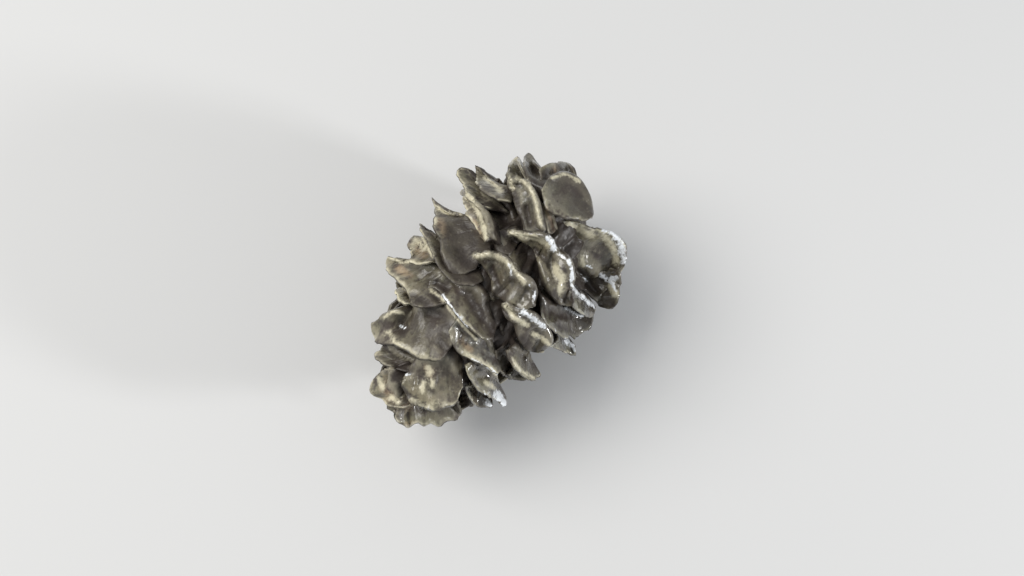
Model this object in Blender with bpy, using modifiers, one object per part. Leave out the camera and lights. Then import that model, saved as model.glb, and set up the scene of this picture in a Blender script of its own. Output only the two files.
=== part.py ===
"""Open, weathered pine cone lying on its side. Metres, +Z up.

The cone's axis runs along X, from the tip of the cone at -X to the stalk end at +X. Woody scales grow out
of a spindle-shaped core, and the whole cone is one solid. The scales that the photo shows pass through the
places that they have there, and the others follow a golden-angle spiral.
"""

import math
import random

import bmesh
import bpy
from mathutils import Matrix, Vector

MM = 0.001

# The photo's view of the cone
TILT = math.radians(15.0)  # the tip leans towards the camera by this much
AXIS_IN_PHOTO = math.radians(51.7)  # how steeply the axis rises in the photo
PIXEL = 0.235 * MM  # one photo pixel at the cone's axis
DISTANCE = 500.0 * MM
AXIS_MIDDLE_PX = (488.4, 295.6)
OUTLINE_STEPS = 6  # of finding where a line of sight meets the outline

# The outline that the scales reach
HALF_LENGTH = 38.0 * MM
RADIUS = 23.0 * MM
SQUARENESS_AT_TIP = 1.6  # 2 gives an ellipse, more gives a blunter end, less a pointed one
SQUARENESS_AT_STALK = 2.2
SMALLEST_REACH = 0.2  # share of RADIUS that the end scales still reach

# The spiral that the scales of the far side follow, counted from the tip
SCALES = 73
RISE = 1.03 * MM
FIRST_ALONG = -38.2 * MM
TURN = math.radians(-137.42)
FIRST_AZIMUTH = math.radians(140.1)  # 0 is straight up and a quarter turn is towards +Y
FAR_SIDE = 0.06  # scales that face the camera less than this are placed by the spiral
LOST = (9, 30, 59, 67, 70, 72)  # numbers of the scales that have broken off
# Share of the usual reach that a scale with this number has
SHORT = {0: 0.8, 8: 0.85, 23: 0.86, 29: 0.94, 36: 0.8, 50: 0.74, 63: 0.8, 71: 0.5}
SEED = 11

# The shape of a scale of the far side
TIP_END = -36.0 * MM
STALK_END = 35.0 * MM
CURL_FROM = -20.0 * MM  # nearer the tip than this, scales lie flat over each other
CURL_FULL_AT = 10.0 * MM
CURL_BACK = 6.0 * MM  # how far a curled scale's free edge lies behind its crest
CURL_DROP = 0.1
CREST_BACK = 7.0 * MM  # how far towards the stalk a flat scale's crest lies
FLAT_CREST = 0.95
REACH = (0.92, 0.99)
HALF_WIDTH = 9.0 * MM
WIDTH = (0.85, 1.1)
LEAST_WIDTH = 0.35
FULL_WIDTH_REACH = 20.0 * MM
EDGE_WIDTH = 0.85
CREST_WIDTH = 0.95
WRAP = 0.75  # 1 bends a scale right round the cone, 0 leaves it flat across
LEAST_BEND_RADIUS = 4.0 * MM
SIDES_BACK = 1.5 * MM
LEAN = 0.15
LIMB_FROM = 0.5
LIMB_SHRINK = 0.3  # scales at the edge of the photo's view reach this much less, to stay behind the others

# The core and the roots in it
CORE_HALF_LENGTH = 28.0 * MM
CORE_SHIFT = 2.0 * MM
CORE_RADIUS = 11.5 * MM
CORE_STEPS = 12
CORE_RINGS = 8
CORE_MERGE = 0.01 * MM
ROOT_DEPTH = 0.62  # a scale starts this share of the core's radius away from the axis
ROOT_CROWDING = 0.56  # the roots stand closer together along the axis than the crests do
ROOT_SHIFT = 5.0 * MM
ROOTS_ALONG = (-19.0 * MM, 25.0 * MM)
ROOT_SPREAD = 0.28  # the root's width as a share of the crest's
LEAST_ROOT = 1.5 * MM
BEYOND = 0.4  # how far past the crest a root lies, as a share of the way from the edge

# A blade
CREST_AT = 0.6  # share of the length at which a blade passes its crest
ROOT_THICKNESS = 1.5 * MM
RIM_THICKNESS = 1.1 * MM
ACROSS = 6
ACROSS_FAR = 3
ALONG = 3
FLAT_DEPTH = 0.9 * MM  # the floor cuts the lowest scales to small flats
CUTTER_SIZE = 6 * HALF_LENGTH

# The scales that the photo shows. Each is held by two lines in photo pixels, both from its upper left end to
# its lower right end: the free edge, and the crest, where the blade bends over. Sunk is how far below the
# cone's outline the edge and the crest lie, and a third number at a point is how much further from the camera
# it lies, both in millimetres. Beyond is how far past the crest the root lies in the photo, as a share of the
# way from the edge.
SEEN = {
    "frill": dict(
        edge=(
            (394, 410), (396, 421), (403, 425), (409, 428), (415, 423), (424, 427), (431, 424), (438, 427),
            (447, 425), (457, 424), (461, 417), (464, 410),
        ),
        crest=((396, 403), (410, 402), (430, 400), (450, 398), (462, 399)),
        sunk=(0.5, 2),
    ),
    "low_left": dict(
        edge=((384, 369), (373, 382), (369, 393), (379, 398), (387, 406), (400, 409), (413, 411)),
        crest=((394, 366), (389, 378), (390, 387), (396, 394), (405, 397), (415, 400)),
        sunk=(0, 0),
    ),
    "big_low": dict(
        edge=((402, 386), (409, 399), (421, 408), (437, 408), (452, 406), (463, 400)),
        crest=((410, 378), (418, 370), (428, 364), (440, 366), (452, 371), (464, 378)),
        sunk=(-1, 0),
    ),
    "left_lobe": dict(
        edge=((381, 345), (373, 354), (377, 362), (387, 367), (400, 371), (414, 376)),
        crest=((390, 343), (392, 349), (402, 355), (415, 360), (425, 364)),
        sunk=(0, 2),
    ),
    "pitted": dict(
        edge=((372, 323), (374, 337), (379, 345), (392, 346), (408, 354), (425, 361), (442, 361), (455, 354)),
        crest=((383, 316), (392, 311), (402, 313, 3), (413, 307), (432, 310), (448, 317), (458, 328)),
        sunk=(-0.5, 0),
    ),
    "knob": dict(
        edge=((395, 293), (397, 297), (400, 303), (406, 305)),
        crest=((398, 289), (403, 288), (408, 293), (412, 299)),
        sunk=(0, 2),
    ),
    "left_spike": dict(
        edge=((389, 256), (386, 266), (394, 281), (404, 290), (412, 304), (430, 308), (444, 308)),
        crest=((404, 261), (416, 261), (430, 269), (441, 282), (452, 296)),
        sunk=(-0.5, 1),
    ),
    "pale_bit": dict(
        edge=((409, 247), (411, 255), (412, 263), (424, 264), (434, 264)),
        crest=((412, 237), (418, 238), (425, 243), (434, 250), (440, 256)),
        sunk=(0, 1),
    ),
    "long_edge": dict(
        edge=((427, 289), (437, 290), (446, 301), (456, 314), (467, 326), (480, 337), (492, 346)),
        crest=((439, 274), (455, 277), (470, 288), (482, 304), (490, 320), (498, 334)),
        sunk=(-1, 0),
    ),
    "under_edge": dict(
        edge=((448, 331), (452, 346), (462, 356), (476, 363), (490, 371), (503, 379)),
        crest=((457, 318), (470, 328), (484, 339), (495, 351), (504, 365)),
        sunk=(-0.5, 1),
    ),
    "low_tip": dict(
        edge=((464, 364), (468, 376), (477, 388), (487, 396), (498, 403), (508, 410), (512, 406)),
        crest=((472, 360), (483, 367), (495, 377), (503, 386), (508, 394)),
        sunk=(0, 1.5),
    ),
    "lowest_tip": dict(
        edge=((466, 387), (470, 400), (478, 408), (487, 411), (495, 409), (497, 403)),
        crest=((472, 384), (480, 390), (488, 396), (494, 399)),
        sunk=(2, 3),
    ),
    "web_low": dict(
        edge=((419, 223), (421, 233), (428, 246), (434, 259), (442, 273), (456, 284), (468, 290)),
        crest=((432, 234), (442, 243), (455, 256), (467, 268), (479, 281)),
        sunk=(-0.5, 1),
    ),
    "web_top": dict(
        edge=((429, 196), (431, 206), (434, 220), (437, 236, 2), (445, 253, 3), (460, 268, 4)),
        crest=((449, 212), (461, 215), (471, 228), (476, 243), (481, 258)),
        sunk=(-0.5, 1.5),
    ),
    "pale_ridge": dict(
        edge=((461, 190), (462, 206), (469, 218), (477, 231), (484, 246)),
        crest=((465, 192), (475, 202), (485, 211), (490, 224), (492, 240)),
        sunk=(1.5, -0.5),
        beyond=-0.3,
    ),
    "crevice": dict(
        edge=((480, 200), (486, 220), (492, 244), (501, 262)),
        crest=((497, 196), (504, 212), (510, 228), (518, 244)),
        sunk=(6, 6),
    ),
    "finger": dict(
        edge=((457, 170), (456, 175), (461, 187), (466, 197), (476, 203), (486, 208)),
        crest=((469, 172), (471, 182), (480, 189), (492, 197), (503, 208)),
        sunk=(0, 1),
    ),
    "finger_web": dict(
        edge=((474, 167), (475, 177), (479, 187), (489, 194), (500, 202), (508, 207)),
        crest=((482, 171), (489, 178), (498, 182), (507, 187), (514, 195)),
        sunk=(0, 1),
    ),
    "leaf": dict(
        edge=((508, 164), (511, 160), (514, 155), (516, 161), (519, 167)),
        crest=((506, 180), (514, 177), (523, 179), (530, 184)),
        sunk=(0, 1),
    ),
    "second_leaf": dict(
        edge=((521, 161), (524, 156), (527, 153), (530, 157), (534, 164)),
        crest=((526, 177), (532, 175), (540, 174), (548, 176)),
        sunk=(0, 1),
    ),
    "back_top": dict(
        edge=((538, 169), (550, 162), (563, 161), (573, 167), (577, 178)),
        crest=((540, 182), (550, 178), (562, 176), (572, 180), (580, 188)),
        sunk=(0, 2),
    ),
    "disc": dict(
        edge=((541, 190), (545, 203), (553, 214), (565, 219), (578, 221), (590, 223)),
        crest=((549, 179), (563, 173), (578, 179), (588, 195), (592, 212)),
        sunk=(-1, -0.5),
        beyond=0,
    ),
    "sliver": dict(
        edge=((539, 204), (544, 220), (549, 237)),
        crest=((546, 202), (552, 216), (557, 231)),
        sunk=(1, 2),
    ),
    "two_lobes": dict(
        edge=((507, 183), (511, 196), (517, 212), (523, 226), (527, 240)),
        crest=((512, 178), (518, 182, 1), (525, 181), (535, 195), (540, 212), (543, 232)),
        sunk=(1, -1),
        beyond=0,
    ),
    "wavy_top": dict(
        edge=((509, 233, 1), (521, 240, 1), (534, 251, 4), (538, 268, 1), (545, 290), (558, 304), (572, 314)),
        crest=(
            (509, 231, 2), (530, 233), (548, 236, -1), (557, 249, 2.5), (570, 261, -1), (574, 277),
            (570, 293, 1),
        ),
        sunk=(1, -1),
        beyond=-0.1,
    ),
    "wavy_middle": dict(
        edge=((474, 257, 1), (482, 266, 2), (489, 277, 4), (492, 295, 2), (505, 304), (520, 311), (532, 311)),
        crest=(
            (477, 253, 2), (492, 252), (507, 258, -1), (515, 271, 0.5), (530, 279, -1), (536, 291),
            (534, 304, 1),
        ),
        sunk=(1, -1),
        beyond=-0.1,
    ),
    "wavy_low": dict(
        edge=((501, 303), (504, 316), (514, 326), (519, 341), (528, 353), (539, 359)),
        crest=((505, 302, 1), (519, 311), (533, 314, -1), (544, 324), (551, 336, -1), (550, 348)),
        sunk=(1, 0),
        beyond=0,
    ),
    "low_fin": dict(
        edge=((505, 351), (511, 364), (519, 375), (531, 380), (539, 380), (546, 384)),
        crest=((513, 345), (523, 352), (532, 360), (538, 364), (541, 371)),
        sunk=(0, 1.5),
    ),
    "low_fin_back": dict(
        edge=((508, 375), (514, 382), (524, 384), (533, 382)),
        crest=((514, 368), (521, 373), (530, 376)),
        sunk=(3, 5),
    ),
    "right_fin": dict(
        edge=((550, 348), (560, 351), (570, 354), (577, 356), (582, 355)),
        crest=((556, 338), (564, 340), (571, 341), (576, 343)),
        sunk=(1, 2),
    ),
    "right_face": dict(
        edge=((566, 296), (572, 306), (580, 314), (590, 319), (598, 313)),
        crest=((571, 284), (578, 294), (586, 302), (592, 306), (598, 308)),
        sunk=(0, 0),
    ),
    "right_low": dict(
        edge=((548, 322), (556, 334), (568, 340), (580, 337), (591, 328), (599, 316)),
        crest=((548, 303), (560, 311), (573, 316), (586, 318), (597, 311)),
        sunk=(0.5, 2),
    ),
    "cup": dict(
        edge=(
            (558, 221, 5), (574, 219, 4), (592, 226), (607, 229, -3), (621, 244, -4), (625, 258, -4),
            (619, 277, -3),
        ),
        crest=((564, 240, 6), (576, 238, 5), (588, 242, 4), (599, 249, 2), (604, 260, 1), (601, 271, 1)),
        sunk=(0, 2),
        beyond=1.2,
    ),
    "cup_low": dict(
        edge=((619, 268, 1), (620, 286), (619, 298), (613, 308), (599, 310)),
        crest=((603, 272, 1), (605, 286), (603, 295), (596, 302)),
        sunk=(0, 1),
        beyond=1.2,
    ),
}


def clear_scene():
    for obj in list(bpy.data.objects):
        bpy.data.objects.remove(obj)


def woody_material():
    material = bpy.data.materials.new("weathered_cone")
    material.use_nodes = True
    shader = material.node_tree.nodes["Principled BSDF"]
    shader.inputs["Base Color"].default_value = (0.155, 0.138, 0.112, 1)
    shader.inputs["Roughness"].default_value = 0.5
    return material


def clamp(value, low, high):
    return min(max(value, low), high)


def view_axes():
    """(towards the camera, to the right, up) of the photo's view, as unit vectors."""
    along = math.cos(TILT) * math.cos(AXIS_IN_PHOTO)
    low = math.sin(TILT) / math.sqrt(1 - along**2)
    towards = Vector((-math.sin(TILT), -math.sqrt(low**2 - math.sin(TILT) ** 2), math.sqrt(1 - low**2)))
    turn = (-towards).to_track_quat("-Z", "Y")
    return towards, turn @ Vector((1, 0, 0)), turn @ Vector((0, 1, 0))


def outline(along):
    """How far from the axis the scales reach at this place along the cone."""
    share = min(abs(along) / HALF_LENGTH, 1)
    power = SQUARENESS_AT_TIP if along < 0 else SQUARENESS_AT_STALK
    return RADIUS * max((1 - share**power) ** (1 / power), SMALLEST_REACH)


def core_radius(along):
    share = min(abs(along - CORE_SHIFT) / CORE_HALF_LENGTH, 1)
    return CORE_RADIUS * math.sqrt(1 - share**2)


def from_photo(point, sunk):
    """The place that the photo shows at this point, this far below the cone's outline. A point outside the
    outline gives the place nearest to the axis on its line of sight."""
    towards, right, up = view_axes()
    eye = towards * DISTANCE
    aside = (point[0] - AXIS_MIDDLE_PX[0]) * PIXEL
    height = (AXIS_MIDDLE_PX[1] - point[1]) * PIXEL
    ray = (right * aside + up * height - eye).normalized()
    flat_ray = Vector((0, ray.y, ray.z))
    flat_eye = Vector((0, eye.y, eye.z))
    nearest = -flat_eye.dot(flat_ray) / flat_ray.length_squared
    miss = (flat_eye + nearest * flat_ray).length
    place = eye + nearest * ray
    for _ in range(OUTLINE_STEPS):
        reach = max(outline(place.x) - sunk * MM, MM)
        step = math.sqrt(max(reach**2 - miss**2, 0)) / flat_ray.length
        place = eye + (nearest - step) * ray
    further = sum(point[2:]) * MM
    return place - towards * further


def root_row(place, crest):
    """The two ends of a blade's root, which lies inside the core."""
    side = (crest[-1] - crest[0]) * 0.5 * ROOT_SPREAD
    side = side * max(1, LEAST_ROOT / side.length)
    along = clamp(place.x, *ROOTS_ALONG)
    spoke = Vector((0, place.y, place.z)).normalized()
    root = Vector((along, 0, 0)) + spoke * ROOT_DEPTH * core_radius(along)
    return [root - side, root + side]


def seen_rows(marks):
    """The root, the crest and the free edge of a scale that the photo shows, each as a line of points."""
    edge = [from_photo(point, marks["sunk"][0]) for point in marks["edge"]]
    crest = [from_photo(point, marks["sunk"][1]) for point in marks["crest"]]
    inner = crest[len(crest) // 2]
    root = inner + (inner - edge[len(edge) // 2]) * marks.get("beyond", BEYOND)
    return root_row(root, crest), crest, edge


def far_rows(number):
    """The same lines for a scale of the spiral, or None where the photo shows that side."""
    draw = random.Random(f"{SEED} scale {number}")
    along = clamp(FIRST_ALONG + RISE * number, TIP_END, STALK_END)
    azimuth = FIRST_AZIMUTH + TURN * number
    outward = Vector((0, math.sin(azimuth), math.cos(azimuth)))
    sideways = Vector((0, math.cos(azimuth), -math.sin(azimuth)))
    facing = outward.dot(view_axes()[0])
    if facing > FAR_SIDE:
        return None
    curled = clamp((along - CURL_FROM) / (CURL_FULL_AT - CURL_FROM), 0, 1)
    limb = clamp(1 + facing / LIMB_FROM, 0, 1)
    reach = outline(along) * draw.uniform(*REACH) * (1 - LIMB_SHRINK * limb) * SHORT.get(number, 1)
    half = HALF_WIDTH * draw.uniform(*WIDTH) * min(1, LEAST_WIDTH + reach / FULL_WIDTH_REACH)
    lean = draw.uniform(-LEAN, LEAN)
    lift = draw.uniform(0, SIDES_BACK)

    def place(x, out, aside):
        bend = WRAP / max(out, LEAST_BEND_RADIUS)
        out -= (1 - math.cos(bend * aside)) / bend
        return Vector((x + lean * aside, 0, 0)) + out * outward + math.sin(bend * aside) / bend * sideways

    edge_along = along - CURL_BACK * curled
    edge_out = reach * (1 - CURL_DROP * curled)
    sides = (1, 0, -1)
    backs = [edge_along + SIDES_BACK * abs(k) + lift * k for k in sides]
    edge = [place(back, edge_out, half * EDGE_WIDTH * k) for back, k in zip(backs, sides)]
    crest_along = along + CREST_BACK * (1 - curled)
    crest_out = reach * (FLAT_CREST + (1 - FLAT_CREST) * curled)
    crest = [place(crest_along, crest_out, half * CREST_WIDTH * k) for k in sides]
    root = place(ROOT_CROWDING * along + ROOT_SHIFT, RADIUS, 0)
    return root_row(root, crest), crest, edge


def along_line(points, share):
    """The place at this share of the length of a smooth curve through the points."""
    lengths = [0.0]
    for first, second in zip(points, points[1:]):
        lengths.append(lengths[-1] + (second - first).length)
    goal = clamp(share, 0, 1) * lengths[-1]
    k = max(i for i in range(len(points) - 1) if lengths[i] <= goal)
    t = (goal - lengths[k]) / (lengths[k + 1] - lengths[k])
    a, b = points[k], points[k + 1]
    before = points[k - 1] if k > 0 else a
    after = points[k + 2] if k + 2 < len(points) else b
    start, end = (b - before) / 2, (after - a) / 2
    return (
        a * (2 * t**3 - 3 * t**2 + 1) + start * (t**3 - 2 * t**2 + t)
        + b * (3 * t**2 - 2 * t**3) + end * (t**3 - t**2)
    )


def blade_point(rows, across, share):
    """A point of a blade's middle surface: across runs from -1 to 1, share from the root to the free edge."""
    root, crest, edge = [along_line(row, 0.5 * (across + 1)) for row in rows]
    to_root = (share - CREST_AT) * (share - 1) / CREST_AT
    to_crest = share * (1 - share) / (CREST_AT * (1 - CREST_AT))
    to_edge = share * (share - CREST_AT) / (1 - CREST_AT)
    return root * to_root + crest * to_crest + edge * to_edge


def scale_object(name, rows, across, material, collection):
    mesh = bpy.data.meshes.new(name)
    bm = bmesh.new()
    bmesh.ops.create_grid(bm, x_segments=across, y_segments=ALONG, size=1)
    weights = {}
    for vert in bm.verts:
        share = 0.5 * (vert.co.y + 1)
        weights[vert.index] = 1 - share
        vert.co = blade_point(rows, vert.co.x, share)
    bmesh.ops.triangulate(bm, faces=bm.faces, quad_method="SHORT_EDGE")
    bm.to_mesh(mesh)
    bm.free()
    blade = bpy.data.objects.new(name, mesh)
    collection.objects.link(blade)
    mesh.materials.append(material)
    group = blade.vertex_groups.new(name="root")
    for index, weight in weights.items():
        group.add([index], weight, "REPLACE")
    solid = blade.modifiers.new("thickness", "SOLIDIFY")
    solid.thickness = ROOT_THICKNESS
    solid.offset = 0
    solid.vertex_group = group.name
    solid.thickness_vertex_group = RIM_THICKNESS / ROOT_THICKNESS
    return blade


def core_object(material):
    """The spindle in the middle, turned about the cone's axis."""
    mesh = bpy.data.meshes.new("pine_cone")
    bm = bmesh.new()
    previous = None
    for ring in range(CORE_RINGS + 1):
        angle = math.pi * ring / CORE_RINGS
        along = CORE_SHIFT + CORE_HALF_LENGTH * math.cos(angle)
        vert = bm.verts.new((along, 0, CORE_RADIUS * math.sin(angle)))
        if previous:
            bm.edges.new((previous, vert))
        previous = vert
    bm.to_mesh(mesh)
    bm.free()
    core = bpy.data.objects.new("pine_cone", mesh)
    bpy.context.scene.collection.objects.link(core)
    mesh.materials.append(material)
    turned = core.modifiers.new("turned", "SCREW")
    turned.axis = "X"
    turned.steps = CORE_STEPS
    turned.render_steps = CORE_STEPS
    turned.use_merge_vertices = True
    turned.merge_threshold = CORE_MERGE
    return core


def apply_modifiers(obj):
    bpy.context.view_layer.update()
    graph = bpy.context.evaluated_depsgraph_get()
    mesh = bpy.data.meshes.new_from_object(obj.evaluated_get(graph))
    obj.modifiers.clear()
    obj.data = mesh


def keep_outer_skin(mesh):
    """Removes the skins of hollows that the joined scales have closed in, and any crumb that hangs free."""
    bm = bmesh.new()
    bm.from_mesh(mesh)
    unseen = set(bm.faces)
    skins = []
    while unseen:
        skin = [unseen.pop()]
        for face in skin:
            for edge in face.edges:
                for other in edge.link_faces:
                    if other in unseen:
                        unseen.remove(other)
                        skin.append(other)
        skins.append(skin)
    skins.sort(key=len)
    for skin in skins[:-1]:
        bmesh.ops.delete(bm, geom=skin, context="FACES")
    bm.to_mesh(mesh)
    bm.free()


def join_by_union(core, collection):
    union = core.modifiers.new("scales", "BOOLEAN")
    union.operation = "UNION"
    union.operand_type = "COLLECTION"
    union.collection = collection
    union.solver = "MANIFOLD"
    apply_modifiers(core)
    keep_outer_skin(core.data)
    for blade in list(collection.objects):
        bpy.data.objects.remove(blade)
    bpy.data.collections.remove(collection)


def lay_on_floor(cone):
    """Cuts the lowest scale ends flat. The cut is at z = 0, with the bounding box's middle over the origin."""
    low = min(vert.co.z for vert in cone.data.vertices)
    floor = low + FLAT_DEPTH
    bm = bmesh.new()
    bmesh.ops.create_cube(bm, size=1)
    size = CUTTER_SIZE
    for vert in bm.verts:
        vert.co = Vector((vert.co.x * size, vert.co.y * size, floor - size * (0.5 - vert.co.z)))
    mesh = bpy.data.meshes.new("floor_cutter")
    bm.to_mesh(mesh)
    bm.free()
    cutter = bpy.data.objects.new("floor_cutter", mesh)
    cutter.hide_render = True
    cutter.display_type = "WIRE"
    bpy.context.scene.collection.objects.link(cutter)
    cut = cone.modifiers.new("flats", "BOOLEAN")
    cut.operation = "DIFFERENCE"
    cut.object = cutter
    cut.solver = "MANIFOLD"
    apply_modifiers(cone)
    bpy.data.objects.remove(cutter)
    xs = [vert.co.x for vert in cone.data.vertices]
    ys = [vert.co.y for vert in cone.data.vertices]
    middle = Vector(((min(xs) + max(xs)) / 2, (min(ys) + max(ys)) / 2, floor))
    cone.data.transform(Matrix.Translation(-middle))


def main():
    clear_scene()
    material = woody_material()
    blades = bpy.data.collections.new("scales")
    bpy.context.scene.collection.children.link(blades)
    core = core_object(material)
    for name, marks in SEEN.items():
        scale_object(name, seen_rows(marks), ACROSS, material, blades)
    for number in range(SCALES):
        rows = far_rows(number)
        if rows and number not in LOST:
            scale_object(f"scale_{number}", rows, ACROSS_FAR, material, blades)
    join_by_union(core, blades)
    lay_on_floor(core)


if __name__ == "__main__":
    main()
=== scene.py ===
"""Looks of the weathered pine cone: finer scales in place of the solid, material, floor, light and view."""

import math
import random

import bmesh
import bpy
import numpy as np
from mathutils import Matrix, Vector
from mathutils import noise as perlin


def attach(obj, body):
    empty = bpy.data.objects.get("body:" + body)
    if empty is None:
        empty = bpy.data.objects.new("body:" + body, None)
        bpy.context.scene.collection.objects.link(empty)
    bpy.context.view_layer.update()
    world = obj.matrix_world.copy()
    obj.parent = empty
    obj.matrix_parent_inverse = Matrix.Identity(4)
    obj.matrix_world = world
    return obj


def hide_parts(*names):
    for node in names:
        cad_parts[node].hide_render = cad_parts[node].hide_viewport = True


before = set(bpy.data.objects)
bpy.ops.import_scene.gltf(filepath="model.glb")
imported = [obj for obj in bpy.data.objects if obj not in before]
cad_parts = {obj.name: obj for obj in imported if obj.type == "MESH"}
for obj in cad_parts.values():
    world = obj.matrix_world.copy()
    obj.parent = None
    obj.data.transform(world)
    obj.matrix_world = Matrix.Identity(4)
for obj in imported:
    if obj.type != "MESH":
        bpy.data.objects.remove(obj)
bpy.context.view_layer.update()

MM = 0.001

# Where the cone's axis lies in the row frame. The axis runs along X, and the tip is at -X.
AXIS_AT = Vector((-0.16, 0.27, 22.05)) * MM

# The photo's view of the cone
TILT = math.radians(15.0)  # the tip leans towards the camera by this much
AXIS_IN_PHOTO = math.radians(51.7)  # how steeply the axis rises in the photo
PIXEL = 0.235 * MM  # one photo pixel at the cone's axis
DISTANCE = 500.0 * MM
AXIS_MIDDLE_PX = (488.4, 295.6)
OUTLINE_STEPS = 6  # of finding where a line of sight meets the outline
PHOTO_WIDTH = 1024
PHOTO_HEIGHT = 576
SENSOR = 36.0

# The outline that the scales reach
HALF_LENGTH = 38.0 * MM
RADIUS = 23.0 * MM
SQUARENESS_AT_TIP = 1.6  # 2 gives an ellipse, more gives a blunter end, less a pointed one
SQUARENESS_AT_STALK = 2.2
SMALLEST_REACH = 0.2  # share of RADIUS that the end scales still reach

# The spiral that the scales of the far side follow, counted from the tip
SCALES = 73
RISE = 1.03 * MM
FIRST_ALONG = -38.2 * MM
TURN = math.radians(-137.42)
FIRST_AZIMUTH = math.radians(140.1)  # 0 is straight up and a quarter turn is towards +Y
FAR_SIDE = 0.06  # scales that face the camera less than this are placed by the spiral
LOST = (9, 30, 59, 67, 70, 72)  # numbers of the scales that have broken off
# Share of the usual reach that a scale with this number has
SHORT = {0: 0.8, 8: 0.85, 23: 0.86, 29: 0.94, 36: 0.8, 50: 0.74, 63: 0.8, 71: 0.5}
SEED = 11

# The shape of a scale of the far side
TIP_END = -36.0 * MM
STALK_END = 35.0 * MM
CURL_FROM = -20.0 * MM  # nearer the tip than this, scales lie flat over each other
CURL_FULL_AT = 10.0 * MM
CURL_BACK = 6.0 * MM  # how far a curled scale's free edge lies behind its crest
CURL_DROP = 0.1
CREST_BACK = 7.0 * MM  # how far towards the stalk a flat scale's crest lies
FLAT_CREST = 0.95
REACH = (0.92, 0.99)
HALF_WIDTH = 9.0 * MM
WIDTH = (0.95, 1.2)
LEAST_WIDTH = 0.35
FULL_WIDTH_REACH = 20.0 * MM
EDGE_WIDTH = 0.85
CREST_WIDTH = 0.95
WRAP = 0.75  # 1 bends a scale right round the cone, 0 leaves it flat across
LEAST_BEND_RADIUS = 4.0 * MM
SIDES_BACK = 1.5 * MM
LEAN = 0.15
LIMB_FROM = 0.5
LIMB_SHRINK = 0.3  # scales at the edge of the photo's view reach this much less, to stay behind the others

# The core and the roots in it
CORE_HALF_LENGTH = 28.0 * MM
CORE_SHIFT = 2.0 * MM
CORE_RADIUS = 11.5 * MM
BASES_RADIUS = 13.5 * MM  # of the bases of the scales, which lie close round the core
BASES_SHIFT = 3.0 * MM  # towards the camera, where the scales stand thickest
BASES_HALF_LENGTH = 31.0 * MM
BASES_BUMPS = 2.5 * MM
BUMP_RATES = (5.0, 14.0)
SMALL_BUMPS = 0.3  # height of the small bumps against the large ones
BASES_DIVISIONS = 6
STALK_SCAR_AT = 31.0 * MM  # where the stalk has broken off
SCAR_ROUGHNESS = 0.25
ROOT_DEPTH = 0.62  # a scale starts this share of the core's radius away from the axis
ROOT_CROWDING = 0.56  # the roots stand closer together along the axis than the crests do
ROOT_SHIFT = 5.0 * MM
ROOTS_ALONG = (-19.0 * MM, 25.0 * MM)
ROOT_SPREAD = 0.28  # the root's width as a share of the crest's
LEAST_ROOT = 1.5 * MM
BEYOND = 0.4  # how far past the crest a root lies, as a share of the way from the edge

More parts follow.
